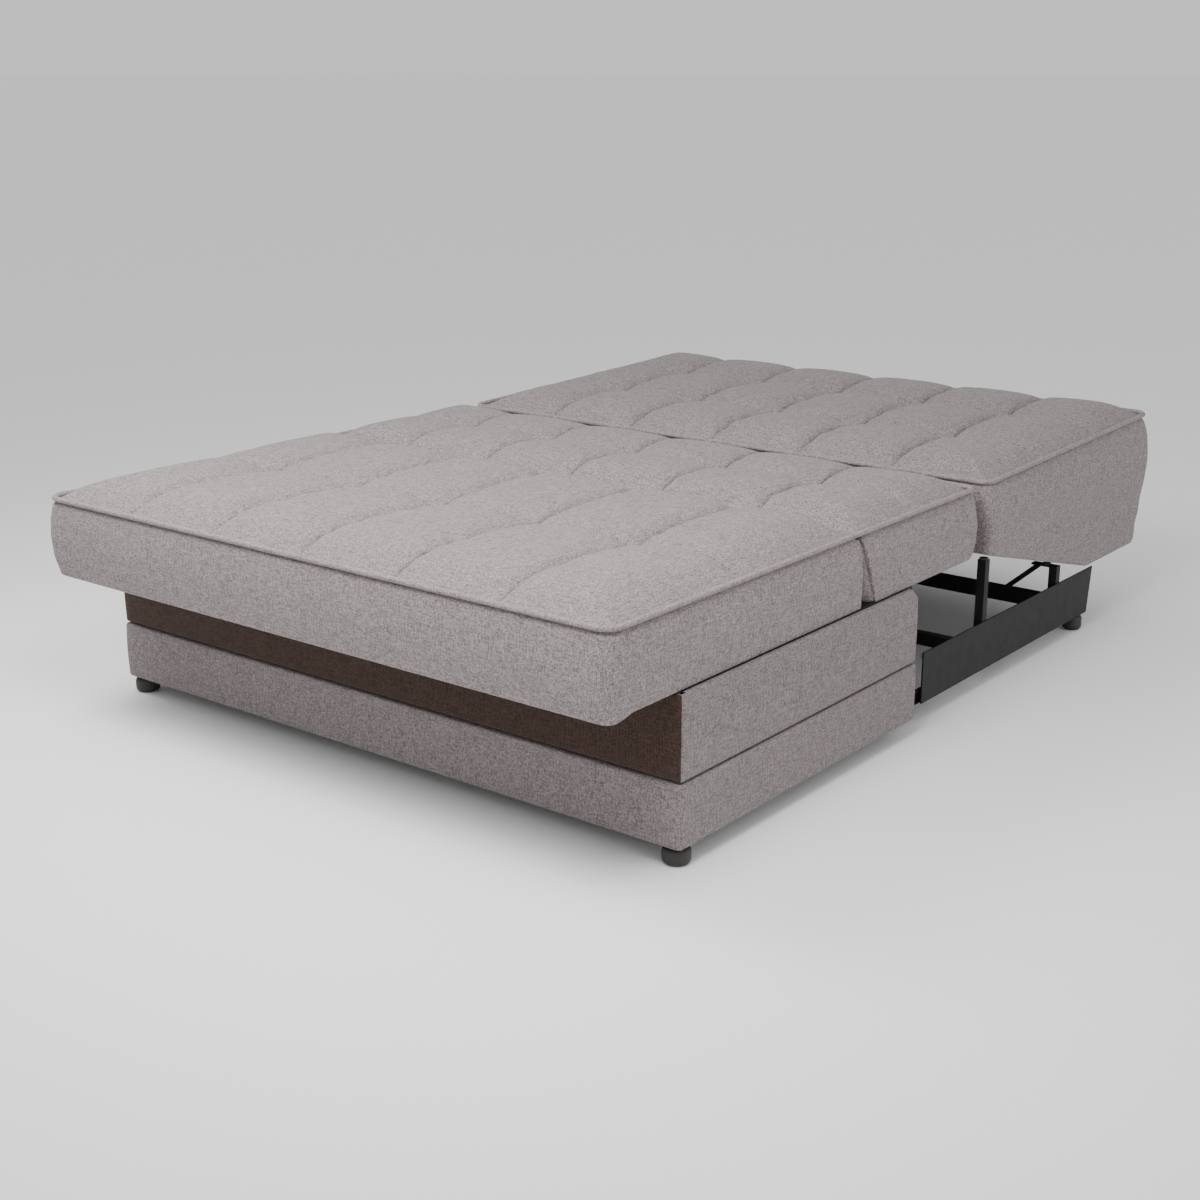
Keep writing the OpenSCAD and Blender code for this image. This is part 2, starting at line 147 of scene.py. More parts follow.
class Nodes:
    """A short way to write node trees: each call adds a node and returns its output."""

    def __init__(self, name):
        self.mat = bpy.data.materials.new(name)
        self.mat.use_nodes = True
        self.tree = self.mat.node_tree
        self.shader = self.tree.nodes["Principled BSDF"]
        self.coords = self.add("ShaderNodeTexCoord").outputs["Object"]

    def add(self, kind, **props):
        node = self.tree.nodes.new(kind)
        for key, value in props.items():
            setattr(node, key, value)
        return node

    def plug(self, value, socket):
        if isinstance(value, (int, float, tuple)):
            socket.default_value = value
        else:
            self.tree.links.new(value, socket)

    def math(self, op, a, b=0.0):
        node = self.add("ShaderNodeMath", operation=op)
        self.plug(a, node.inputs[0])
        self.plug(b, node.inputs[1])
        return node.outputs[0]

    def stretch(self, scale):
        node = self.add("ShaderNodeMapping")
        node.inputs["Scale"].default_value = scale
        self.plug(self.coords, node.inputs["Vector"])
        return node.outputs[0]

    def noise(self, scale, detail=2.0, rough=0.5, vector=None):
        node = self.add("ShaderNodeTexNoise")
        node.inputs["Scale"].default_value = scale
        node.inputs["Detail"].default_value = detail
        node.inputs["Roughness"].default_value = rough
        self.plug(self.coords if vector is None else vector, node.inputs["Vector"])
        return node.outputs["Fac"]

    def ramp(self, value, stops):
        node = self.add("ShaderNodeValToRGB")
        ramp = node.color_ramp
        while len(ramp.elements) < len(stops):
            ramp.elements.new(0.5)
        for element, (at, colour) in zip(ramp.elements, stops):
            element.position = at
            element.color = (*colour, 1)
        self.plug(value, node.inputs["Fac"])
        return node.outputs["Color"]

    def mix(self, factor, a, b, blend="MIX"):
        """Mixes two colours; sockets 6 and 7 and output 2 are the node's colour ones."""
        node = self.add("ShaderNodeMix", data_type="RGBA", blend_type=blend)
        self.plug(factor, node.inputs[0])
        self.plug(a, node.inputs[6])
        self.plug(b, node.inputs[7])
        return node.outputs[2]

    def bump(self, height, strength, distance, under=None):
        node = self.add("ShaderNodeBump")
        node.inputs["Strength"].default_value = strength
        node.inputs["Distance"].default_value = distance
        self.plug(height, node.inputs["Height"])
        if under is not None:
            self.plug(under, node.inputs["Normal"])
        return node.outputs["Normal"]

    def finish(self, colour, rough, normal, **sockets):
        self.plug(colour, self.shader.inputs["Base Color"])
        self.plug(rough, self.shader.inputs["Roughness"])
        self.plug(normal, self.shader.inputs["Normal"])
        for name, value in sockets.items():
            self.shader.inputs[name.replace("_", " ")].default_value = value
        return self.mat


def woven_cloth(name, dark, light, warm, pitch=0.0029):
    """Melange plain weave: ribs along all three axes, slubby yarn, flecks and a slow drift in tone."""
    steepest = 0.86         # the ribs of a direction are gone on faces turned further towards it
    fade = 6                # and this is how fast they come in on the others
    along = 50              # noise scale along a yarn
    fine = 420              # and across it
    n = Nodes(name)
    split = n.add("ShaderNodeSeparateXYZ")
    n.plug(n.coords, split.inputs[0])
    turns = 2 * math.pi / pitch
    facing = n.add("ShaderNodeSeparateXYZ")
    n.plug(n.add("ShaderNodeTexCoord").outputs["Normal"], facing.inputs[0])
    waves = []
    for i in range(3):
        lies_in = n.math("SUBTRACT", steepest, n.math("ABSOLUTE", facing.outputs[i]))
        lies_in = n.math("MULTIPLY", lies_in, fade)
        lies_in = n.math("MINIMUM", n.math("MAXIMUM", lies_in, 0), 1)
        wave = n.math("SINE", n.math("MULTIPLY", split.outputs[i], turns))
        waves.append(n.math("MULTIPLY", wave, lies_in))
    weave = n.math("ADD", n.math("ADD", waves[0], waves[1]), waves[2])
    yarns = [n.noise(1.0, 3, 0.7, n.stretch(scale))
             for scale in ((along, fine, fine), (fine, along, fine), (fine, fine, along))]
    yarn = n.math("MULTIPLY", n.math("ADD", n.math("ADD", yarns[0], yarns[1]), yarns[2]), 1 / 3)
    fleck = n.noise(300, 3, 0.8)
    melange = n.math("ADD", n.math("MULTIPLY", yarn, 0.6), n.math("MULTIPLY", fleck, 0.4))
    shade = n.math("ADD", melange, n.math("MULTIPLY", weave, 0.012))
    between = tuple((a + b) / 2 for a, b in zip(dark, light))
    colour = n.ramp(shade, [(0.435, dark), (0.5, between), (0.565, light)])
    drift = n.noise(2.3, 3, 0.55)
    colour = n.mix(n.math("MULTIPLY", drift, 0.5), colour, (*warm, 1), "MULTIPLY")
    crumple = n.bump(n.noise(22, 4, 0.55), 0.22, 0.004)
    relief = n.math("ADD", n.math("MULTIPLY", weave, 0.2), melange)
    fuzz = n.bump(relief, 0.7, 0.0012, crumple)
    return n.finish(colour, n.math("ADD", 0.82, n.math("MULTIPLY", fleck, 0.15)), fuzz,
                    Sheen_Weight=0.1, Sheen_Roughness=0.45, Specular_IOR_Level=0.2)


def powder_coat(name, colour):
    """Painted steel with a fine orange peel and slightly scuffed gloss."""
    n = Nodes(name)
    tone = n.mix(n.noise(14, 3), (*colour, 1), (*[c * 1.5 + 0.006 for c in colour], 1))
    peel = n.bump(n.noise(900, 2), 0.12, 0.0006)
    scuffed = n.math("ADD", 0.5, n.math("MULTIPLY", n.noise(38, 5, 0.65), 0.16))
    return n.finish(tone, scuffed, peel, Specular_IOR_Level=0.3)


def zinc_plate(name):
    """Zinc-plated steel, blotchy and lightly brushed."""
    n = Nodes(name)
    tone = n.ramp(n.noise(55, 4, 0.6), [(0.3, (0.42, 0.41, 0.38)), (0.7, (0.68, 0.67, 0.63))])
    brushed = n.bump(n.noise(1.0, 2, 0.5, n.stretch((60, 1500, 1500))), 0.08, 0.0005)
    rough = n.math("ADD", 0.24, n.math("MULTIPLY", n.noise(90, 3), 0.2))
    return n.finish(tone, rough, brushed, Metallic=1.0)


def birch(name):
    """Lacquered birch with its grain along x."""
    n = Nodes(name)
    grain = n.noise(1.0, 5, 0.6, n.stretch((6, 160, 160)))
    tone = n.ramp(grain, [(0.3, (0.42, 0.28, 0.15)),
                          (0.55, (0.62, 0.45, 0.27)),
                          (0.75, (0.71, 0.55, 0.36))])
    return n.finish(tone, 0.5, n.bump(grain, 0.18, 0.0012), Coat_Weight=0.15, Coat_Roughness=0.35)


def moulded_plastic(name, colour):
    """Dull plastic or rubber with a fine moulded grain."""
    n = Nodes(name)
    tone = n.mix(n.noise(60, 3), (*colour, 1), (*[c * 1.8 + 0.004 for c in colour], 1))
    grain = n.bump(n.noise(1300, 2, 0.6), 0.25, 0.0005)
    return n.finish(tone, n.math("ADD", 0.45, n.math("MULTIPLY", n.noise(25, 4), 0.2)), grain)


def felt_lining(name):
    """Black non-woven lining with short fibres."""
    n = Nodes(name)
    fibre = n.noise(1.0, 4, 0.7, n.stretch((420, 90, 420)))
    tone = n.ramp(fibre, [(0.3, (0.012, 0.012, 0.012)), (0.7, (0.055, 0.053, 0.05))])
    return n.finish(tone, 0.95, n.bump(fibre, 0.4, 0.0012), Sheen_Weight=0.2)


WARM_GREY = (0.93, 0.9, 0.9)
# brown tint of the painted shade on the upper front band, which stands in for the warm shade under the seat's
# overhang
PAINTED_SHADE_WARMTH = (0.95, 0.9, 0.86)

MATERIALS = {
    "fabric": woven_cloth("sofa_cloth", dark=(0.126, 0.108, 0.108), light=(0.352, 0.309, 0.309),
                          warm=WARM_GREY),
    "base_fabric": woven_cloth("base_cloth", dark=(0.110, 0.094, 0.094), light=(0.298, 0.260, 0.260),
                               warm=WARM_GREY),
    # painted shade: the upper front band is the same grey cloth as the sides, made dark brown here for the shade
    # under the seat's overhang
    "shadow_fabric": woven_cloth("brown_cloth", dark=(0.024, 0.013, 0.0095), light=(0.066, 0.038, 0.029),
                                 warm=PAINTED_SHADE_WARMTH),
    "piping": woven_cloth("piping_cloth", dark=(0.165, 0.142, 0.140), light=(0.405, 0.356, 0.352),
                          warm=WARM_GREY, pitch=0.0016),
    "black_steel": powder_coat("black_powder_coat", (0.004, 0.0035, 0.0033)),
    "grey_steel": powder_coat("grey_powder_coat", (0.17, 0.17, 0.18)),
    "zinc": zinc_plate("zinc_plate"),
    "wood": birch("birch"),
    "foot_plastic": moulded_plastic("foot_plastic", (0.014, 0.013, 0.012)),
    "rubber": moulded_plastic("rubber", (0.02, 0.02, 0.02)),
    "lining": felt_lining("lining"),
}

# ---- mesh helpers ----------------------------------------------------------------------------------


def new_piece(name, verts, faces, slot, body):
    """A smooth-shaded mesh object with its material, riding on body unless that is None."""
    mesh = bpy.data.meshes.new(name)
    mesh.from_pydata([tuple(v) for v in verts], [], faces)
    mesh.materials.append(MATERIALS[slot])
    shell = bmesh.new()
    shell.from_mesh(mesh)
    bmesh.ops.recalc_face_normals(shell, faces=shell.faces)
    shell.to_mesh(mesh)
    shell.free()
    mesh.polygons.foreach_set("use_smooth", [True] * len(mesh.polygons))
    mesh.update()
    obj = bpy.data.objects.new(name, mesh)
    bpy.context.collection.objects.link(obj)
    if body:
        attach(obj, body)
    return obj


def grid_faces(rows, columns):
    """Faces of a sheet with rows + 1 rows of columns + 1 points."""
    faces = []
    for i in range(rows):
        for k in range(columns):
            a = i * (columns + 1) + k
            faces.append((a, a + 1, a + columns + 2, a + columns + 1))
    return faces


def ring_faces(rings, sides):
    """Faces between neighbouring rings of points."""
    faces = []
    for i in range(rings - 1):
        for k in range(sides):
            a = i * sides + k
            b = i * sides + (k + 1) % sides
            faces.append((a, b, b + sides, a + sides))
    return faces


def tube_mesh(path, radius, sides=10):
    """Vertices and faces of a round tube along a path, closed with a point at each end."""
    path = np.asarray(path, float)
    tangent = np.gradient(path, axis=0)
    tangent /= np.linalg.norm(tangent, axis=1)[:, None]
    up = np.array([0.0, 0.0, 1.0])
    side = np.cross(tangent, up)
    side /= np.linalg.norm(side, axis=1)[:, None]
    lift = np.cross(side, tangent)
    angle = np.arange(sides) * 2 * np.pi / sides
    ring = np.cos(angle)[None, :, None] * side[:, None] + np.sin(angle)[None, :, None] * lift[:, None]
    verts = (path[:, None] + radius * ring).reshape(-1, 3)
    point = 0.5                             # how far the end points stand out, as a share of the radius
    first_end = path[0] - tangent[0] * radius * point
    last_end = path[-1] + tangent[-1] * radius * point
    verts = np.vstack([verts, first_end, last_end])
    faces = ring_faces(len(path), sides)
    first = len(verts) - 2
    last = len(verts) - 1
    last_ring = (len(path) - 1) * sides
    for k in range(sides):
        faces.append((first, (k + 1) % sides, k))
        faces.append((last, last_ring + k, last_ring + (k + 1) % sides))
    return verts, faces


def round_plan(x, y, half, y0, y1, r0, r1):
    """Moves the points of a rectangular grid so that its corners become round: r0 in front, r1 behind."""
    x = x.copy()
    y = y.copy()
    for r, edge, way in ((r0, y0, -1), (r1, y1, 1)):
        if r <= 0:
            continue
        a = np.clip((np.abs(x) - (half - r)) / r, 0, 1)
        b = np.clip((way * (y - edge) + r) / r, 0, 1)
        in_corner = (a > 0) & (b > 0)
        new_a = a * np.sqrt(1 - b * b / 2)
        new_b = b * np.sqrt(1 - a * a / 2)
        x = np.where(in_corner, np.sign(x) * (half - r + r * new_a), x)
        y = np.where(in_corner, edge + way * (r * new_b - r), y)
    return x, y


# ---- cushions --------------------------------------------------------------------------------------

SEAM_INSET = 0.0075     # how far the seam under the piping lies inside the boxing
BOXING = [(0, -SEAM_INSET), (0.03, -0.0034), (0.065, -0.0012), (0.11, 0.0002),
          (0.25, 0.002), (0.5, 0.004), (1, -0.001)]     # how far the boxing stands out on its way down
WALL = [0, 0.03, 0.065, 0.11, 0.17, 0.25, 0.35, 0.45, 0.55, 0.65, 0.75, 0.85, 0.93, 1]   # its rows
CELL_STEPS = 22         # even grid steps across one biscuit
SEAM_STEP = 0.0032      # the grid lines that run beside a seam are this far from it
SEAM_CREASE = 0.9       # how crisp the seams stay under subdivision
SIM_FRAMES = 20         # length of each cloth simulation
PRESSURE = 4.0          # of the air that fills the cushions out in it


def lerp_profile(t, points):
    """Reads a profile of (t, value) points at t."""
    return np.interp(t, [p[0] for p in points], [p[1] for p in points])


def seam_lines(low, high, cells, steps):
    """Grid lines across a row of cells, with a close pair beside every seam and at both ends."""
    lines = np.linspace(low, high, cells * steps + 1)
    seams = np.linspace(low, high, cells + 1)
    extra = np.concatenate([seams[:-1] + SEAM_STEP, seams[1:] - SEAM_STEP])
    return np.sort(np.concatenate([lines, extra]))


def soft_max(a, b, width=0.004):
    """The larger of a and b, with the corner between them rounded."""
    return (a + b + np.sqrt((a - b) ** 2 + width ** 2)) / 2


class Panel:
    """One tufted cushion: a closed box-shaped grid whose top is sewn into rows of biscuits.

    It reaches from y0 to y1, and its corners have the plan radius r0 in front and r1 behind, 0 at the fold.
    The profiles front and rear say how far those walls lean on their way down, and edge_z and low_z give
    the heights of the seam round the top and of the underside.
    """

    fold_slope = 1.3        # the top rises this much faster from the fold than from a piped edge
    shoulder_reach = 0.13   # the crown rounds over within this distance of an edge
    rim_reach = 0.11        # the biscuits flatten out within this distance of an edge
    crease_width = 0.004    # of the stitched lines, which fade out within crease_fade of an edge
    crease_fade = 0.015
    tuft_reach = 0.027      # radius of the dimple round a tuft
    fold_room = 0.0015      # beside the fold the top keeps under a slope that starts this high
    fold_climb = 0.95       # and rises by this much per metre
    hold = 0.6              # how firmly the sewn lines keep their place while the biscuits fill out
    edge_hold = 0.75        # the same for the edge of the top, fading out within edge_reach
    edge_reach = 0.045
    wall_hold = 0.92        # and for the boxing, below its first held_rows rows
    held_rows = 3

    def __init__(self, name, body, y0, y1, rows, r0, r1, front, rear, edge_z, low_z,
                 puff, crown, tuft, arch, crease):
        self.name = name
        self.body = body
        self.y0 = y0
        self.y1 = y1
        self.rows = rows
        self.r0 = r0
        self.r1 = r1
        self.front = front
        self.rear = rear
        self.edge_z = edge_z
        self.low_z = low_z
        self.puff = puff            # height of a biscuit over its seams
        self.crown = crown          # height of the whole panel's crown
        self.tuft = tuft            # depth of the dimples where the seams cross
        self.arch = arch            # how far the seams rise between two tufts, as a share of puff
        self.crease = crease        # depth of the stitched lines
        steps_y = round((y1 - y0) / rows / (2 * HALF_CUSHION / COLUMNS / CELL_STEPS))
        gx = seam_lines(-HALF_CUSHION, HALF_CUSHION, COLUMNS, CELL_STEPS)
        gy = seam_lines(y0, y1, rows, steps_y)
        self.nx = len(gx) - 1
        self.ny = len(gy) - 1
        self.gx, self.gy = np.meshgrid(gx, gy)

    def plan_at(self, t):
        """The grid's x and y at share t of the way down the boxing, which swells out under its piping."""
        x, y = round_plan(self.gx, self.gy, HALF_CUSHION, self.y0, self.y1, self.r0, self.r1)
        out = lerp_profile(t, BOXING)
        front = lerp_profile(t, self.front) - (out if self.r0 else 0)
        rear = lerp_profile(t, self.rear) + (out if self.r1 else 0)
        along = (y - self.y0) / (self.y1 - self.y0)
        return x * (1 + out / HALF_CUSHION), y + front + along * (rear - front)

    def cells(self):
        """Where each grid point lies, counted in biscuits across and along."""
        u = (self.gx + HALF_CUSHION) / (2 * HALF_CUSHION) * COLUMNS
        v = (self.gy - self.y0) / (self.y1 - self.y0) * self.rows
        return u, v

    def top_shape(self):
        """Height of the sewn top above its edge: a crowned panel, biscuits with arched seams, and tufts."""
        u, v = self.cells()
        across = np.abs(np.sin(np.pi * u))
        along = np.abs(np.sin(np.pi * v))
        arch = 1 - (1 - across) * (1 - along)
        pillow = (across * along) ** 0.4
        side = HALF_CUSHION - np.abs(self.gx)
        front = (self.gy - self.y0) * (1 if self.r0 else self.fold_slope)
        rear = (self.y1 - self.gy) * (1 if self.r1 else self.fold_slope)
        edge = np.minimum(side, np.minimum(front, rear))
        shoulder = 1 - (1 - np.clip(edge / self.shoulder_reach, 0, 1)) ** 2.4
        rim = 1 - (1 - np.clip(edge / self.rim_reach, 0, 1)) ** 2
        biscuit = (self.arch * arch + (1 - self.arch) * pillow) * rim
        height = self.crown * shoulder + self.puff * biscuit
        cell_x = 2 * HALF_CUSHION / COLUMNS
        cell_y = (self.y1 - self.y0) / self.rows
        off_x = (u - np.round(u)) * cell_x
        off_y = (v - np.round(v)) * cell_y
        inside = (np.round(u) > 0) & (np.round(u) < COLUMNS) & (np.round(v) > 0) & (np.round(v) < self.rows)
        reach = np.hypot(off_x, off_y)
        crease = np.maximum(np.exp(-np.abs(off_x) / self.crease_width),
                            np.exp(-np.abs(off_y) / self.crease_width))
        crease *= np.clip(edge / self.crease_fade, 0, 1)
        height -= self.crease * crease
        height -= np.where(inside, self.tuft * np.exp(-(reach / self.tuft_reach) ** 1.2), 0)
        if not (self.r0 and self.r1):
            gap = self.y1 - self.gy if self.r0 else self.gy - self.y0
            room = FOLD_Z + self.fold_room + gap * self.fold_climb - EDGE_Z
            height = -soft_max(-height, -room)
        return height

    def build(self):
        """Vertices, faces and the pin weight of every vertex."""
        ny = self.ny + 1
        nx = self.nx + 1
        count = ny * nx
        x, y = self.plan_at(0)
        top = np.stack([x, y, self.edge_z(y) + self.top_shape()], axis=-1).reshape(-1, 3)
        xb, yb = self.plan_at(1)
        bottom = np.stack([xb, yb, self.low_z(yb)], axis=-1).reshape(-1, 3)
        ids = np.arange(count).reshape(ny, nx)
        loop = np.concatenate([ids[0, :-1], ids[:-1, -1], ids[-1, :0:-1], ids[:0:-1, 0]])
        upper = self.edge_z(y).reshape(-1)[loop]
        lower = self.low_z(yb).reshape(-1)[loop]
        walls = []
        for t in WALL[1:-1]:
            xk, yk = self.plan_at(t)
            height = upper + t * (lower - upper)
            walls.append(np.stack([xk.reshape(-1)[loop], yk.reshape(-1)[loop], height], axis=-1))
        verts = np.vstack([top, bottom] + walls)
        quads = []
        for offset, flip in ((0, False), (count, True)):
            a = (ids[:-1, :-1] + offset).ravel()
            b = (ids[:-1, 1:] + offset).ravel()
            c = (ids[1:, 1:] + offset).ravel()
            d = (ids[1:, :-1] + offset).ravel()
            quads.append(np.stack([a, d, c, b] if flip else [a, b, c, d], axis=-1))
        n = len(loop)
        levels = [loop] + [2 * count + k * n + np.arange(n) for k in range(len(WALL) - 2)] + [loop + count]
        for upper, lower in zip(levels[:-1], levels[1:]):
            quads.append(np.stack([upper, lower, np.roll(lower, -1), np.roll(upper, -1)], axis=-1))
        faces = np.vstack(quads)
        self.loop = loop
        return verts, faces, self.pins(count, n)

    def sharpen_seams(self, obj):
        """Keeps the sewn lines of the top crisp when the mesh is subdivided."""
        u, v = (grid.ravel() for grid in self.cells())
        ends = np.empty(2 * len(obj.data.edges), int)
        obj.data.edges.foreach_get("vertices", ends)
        a, b = ends.reshape(-1, 2).T
        on_top = (a < len(u)) & (b < len(u))
        a = np.where(on_top, a, 0)
        b = np.where(on_top, b, 0)
        sewn = np.zeros(len(a), bool)
        for line, count in ((u, COLUMNS), (v, self.rows)):
            inner = (np.round(line) > 0) & (np.round(line) < count)
            inner &= np.abs(line - np.round(line)) < ON_LINE
            sewn |= inner[a] & inner[b] & (np.abs(line[a] - line[b]) < ON_LINE)
        crease = obj.data.attributes.new("crease_edge", "FLOAT", "EDGE")
        crease.data.foreach_set("value", np.where(sewn & on_top, SEAM_CREASE, 0.0))

    def pins(self, count, n):
        """1 holds a vertex still; the sewn lines are held partly, the tufts and the piping wholly."""
        u, v = self.cells()
        on_u = np.abs(u - np.round(u)) < ON_LINE
        on_v = np.abs(v - np.round(v)) < ON_LINE
        edge = np.minimum(HALF_CUSHION - np.abs(self.gx), np.minimum(self.gy - self.y0, self.y1 - self.gy))
        weight = self.edge_hold * np.clip(1 - edge / self.edge_reach, 0, 1)
        weight = np.where(on_u | on_v, np.maximum(weight, self.hold), weight)
        weight = np.where((on_u & on_v) | (edge < ON_LINE), 1.0, weight)
        walls = np.full((len(WALL) - 2, n), self.wall_hold)
        walls[:self.held_rows] = 1
        return np.concatenate([weight.ravel(), np.ones(count), walls.ravel()])


def inflate(obj, pins, cap):
    """Blows a cushion up like cloth over foam, with no point moving further than cap."""
    start = np.array([v.co for v in obj.data.vertices], float)
    group = obj.vertex_groups.new(name="pins")
    for w in sorted(set(np.round(pins, 3))):
        if w > 0:
            group.add(np.flatnonzero(np.isclose(pins, w, atol=5e-4)).tolist(), float(w), "REPLACE")
    cloth = obj.modifiers.new("cloth", "CLOTH")
    cloth.settings.quality = 5
    cloth.settings.mass = 0.25
    cloth.settings.tension_stiffness = 12
    cloth.settings.compression_stiffness = 12
    cloth.settings.shear_stiffness = 4
    cloth.settings.bending_stiffness = 0.6
    cloth.settings.shrink_min = -0.035
    cloth.settings.use_pressure = True
    cloth.settings.uniform_pressure_force = PRESSURE
    cloth.settings.vertex_group_mass = "pins"
    cloth.settings.effector_weights.gravity = 0
    cloth.point_cache.frame_start = 1
    cloth.point_cache.frame_end = SIM_FRAMES
    scene = bpy.context.scene
    for step in range(1, SIM_FRAMES + 1):
        scene.frame_set(step)
    shaped = obj.evaluated_get(bpy.context.evaluated_depsgraph_get()).to_mesh()
    moved = np.array([v.co for v in shaped.vertices], float) - start
    obj.modifiers.remove(cloth)
    scene.frame_set(1)
    reach = np.linalg.norm(moved, axis=1)
    moved *= (cap * np.tanh(reach / cap) / np.maximum(reach, 1e-9))[:, None]
    obj.data.vertices.foreach_set("co", (start + moved).ravel())
    obj.data.update()


def make_panel(panel, node, cap):
    """Makes a panel's cover in place of its CAD node, and keeps its top edge for the piping."""
    verts, faces, pins = panel.build()
    obj = new_piece(panel.name, verts, faces.tolist(), "fabric", None)
    inflate(obj, pins, cap)
    panel.sharpen_seams(obj)
    smooth = obj.modifiers.new("smooth", "SUBSURF")
    smooth.levels = smooth.render_levels = 1
    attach(obj, panel.body)
    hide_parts(node)
    panel.edge = verts[panel.loop]


def at(y):
    """A place counted from the front face of the base."""
    return BASE_Y + y


MIDDLE_END = at(0.99)               # rear edge of the middle cover
WEDGE_END = at(1.84)                # rear edge of the wedge cover
WEDGE_RISE_END = at(1.848)          # the wedge's seam climbs by WEDGE_RISE on its way to here
WEDGE_RISE = 0.02
SLOPE_START = (at(1.069), 0.281)    # the y and z where the wedge's sloping underside starts
SLOPE_END = (at(1.548), WEDGE_LOW)  # and where it ends
COVER_LOW = PANEL_Z - 0.002         # underside of the seat and middle covers
LIP_LOW = PANEL_Z - 0.015           # the seat's front lip hangs down to here
LIP_DEPTH = 0.058                   # and runs out this far behind its front
SEAT_LEAN = 0.014                   # the seat's rear wall leans back by this much on its way down
MIDDLE_LEAN = 0.06                  # and the middle panel's front wall by this much


def flat_edge(y):
    return np.full_like(y, EDGE_Z)


def wedge_edge(y):
    share = (y - WEDGE_FRONT) / (WEDGE_RISE_END - WEDGE_FRONT)
    return EDGE_Z + WEDGE_RISE * np.clip(share, 0, 1)


def seat_low(y):
    return np.interp(y, [SEAT_FRONT, SEAT_FRONT + LIP_DEPTH], [LIP_LOW, COVER_LOW])


def middle_low(y):
    return np.full_like(y, COVER_LOW)


def wedge_low(y):
    return np.interp(y, [SLOPE_START[0], SLOPE_END[0]], [SLOPE_START[1], SLOPE_END[1]])


def make_cushions():
    seat = Panel("seat_cushion_cover", "base",
                 y0=SEAT_FRONT, y1=FOLD_Y - FOLD_GAP, rows=2, r0=0.026, r1=0,
                 front=[(0, 0), (0.3, -0.002), (0.75, -0.001), (1, 0.006)],
                 rear=[(0, 0), (1, SEAT_LEAN)],
                 edge_z=flat_edge, low_z=seat_low,
                 puff=0.014, crown=0.024, tuft=0.014, arch=0.62, crease=0.005)
    middle = Panel("middle_cushion_cover", "middle_panel",
                   y0=FOLD_Y + FOLD_GAP, y1=MIDDLE_END, rows=2, r0=0, r1=0.024,
                   front=[(0, 0), (1, MIDDLE_LEAN)],
                   rear=[(0, 0), (0.45, 0.011), (0.8, 0.017), (1, 0.004)],
                   edge_z=flat_edge, low_z=middle_low,
                   puff=0.014, crown=0.021, tuft=0.014, arch=0.62, crease=0.005)
    wedge = Panel("wedge_cushion_cover", "rear_panel",
                  y0=WEDGE_FRONT, y1=WEDGE_END, rows=3, r0=0.02, r1=0.03,
                  front=[(0, 0), (0.2, 0.008), (0.6, 0.023), (1, 0.033)],
                  rear=[(0, 0), (0.15, 0.018), (0.33, 0.028), (0.6, 0.004), (1, -0.014)],
                  edge_z=wedge_edge, low_z=wedge_low,
                  puff=0.015, crown=0.017, tuft=0.015, arch=0.55, crease=0.0055)
    make_panel(seat, "seat_cushion", cap=0.006)
    make_panel(middle, "middle_cushion", cap=0.006)
    make_panel(wedge, "wedge_cushion", cap=0.01)
    return seat, middle, wedge


# ---- piping ----------------------------------------------------------------------------------------


def outward(path, amount):
    """Moves a level path sideways, away from the cushion's middle."""
    tangent = np.gradient(path, axis=0)
    normal = np.stack([tangent[:, 1], -tangent[:, 0]], axis=-1)
    normal /= np.linalg.norm(normal, axis=1)[:, None]
    moved = path.copy()
    moved[:, :2] += amount * normal
    return moved


def make_piping(panels):
    """A cord round the top of each panel, left open on the fold side of the seat and the middle panel.

    A panel's edge is a loop of points: along its front, up its right side, back along its rear and down.
    """
    seat, middle, wedge = panels
    seat_loop = np.vstack([seat.edge[2 * seat.nx + seat.ny:], seat.edge[:seat.nx + seat.ny + 1]])
    middle_loop = middle.edge[middle.nx:2 * middle.nx + 2 * middle.ny + 1]
    wedge_loop = np.vstack([wedge.edge, wedge.edge[:2]])
    for name, path, body, node in (("seat_piping_cord", seat_loop, "base", "seat_piping"),
                                   ("middle_piping_cord", middle_loop, "middle_panel", "middle_piping"),
                                   ("wedge_piping_cord", wedge_loop, "rear_panel", "wedge_piping")):
        path = path[np.abs(path[:, 1] - FOLD_Y) > FOLD_PIPE]
        path[:, 2] = np.maximum(path[:, 2], EDGE_Z)
        path = outward(path, SEAM_INSET - PIPE_INSET)
        path[:, 2] += PIPE_LIFT
        cord = new_piece(name, *tube_mesh(path, PIPE_R), "piping", body)
        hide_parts(node)


def across_fold(piece):
    """Bakes a piece's placement into its mesh, for a piece that lies across the fold and rides on no body."""
    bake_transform(piece)


def make_fold_piping():
    """The piping runs on over the fold on both sides, a little slimmer where it overlaps the cords."""
    overlap = 0.006
    slimmer = 0.98
    y = FOLD_Y + np.linspace(-FOLD_PIPE - overlap, FOLD_PIPE + overlap, 25)
    for s, name in ((-1, "left"), (1, "right")):
        path = np.stack([np.full_like(y, s * (HALF_CUSHION - PIPE_INSET)), y,
                         np.full_like(y, EDGE_Z + PIPE_LIFT)], axis=-1)
        cord = new_piece("fold_piping_" + name, *tube_mesh(path, PIPE_R * slimmer), "piping", None)
        across_fold(cord)


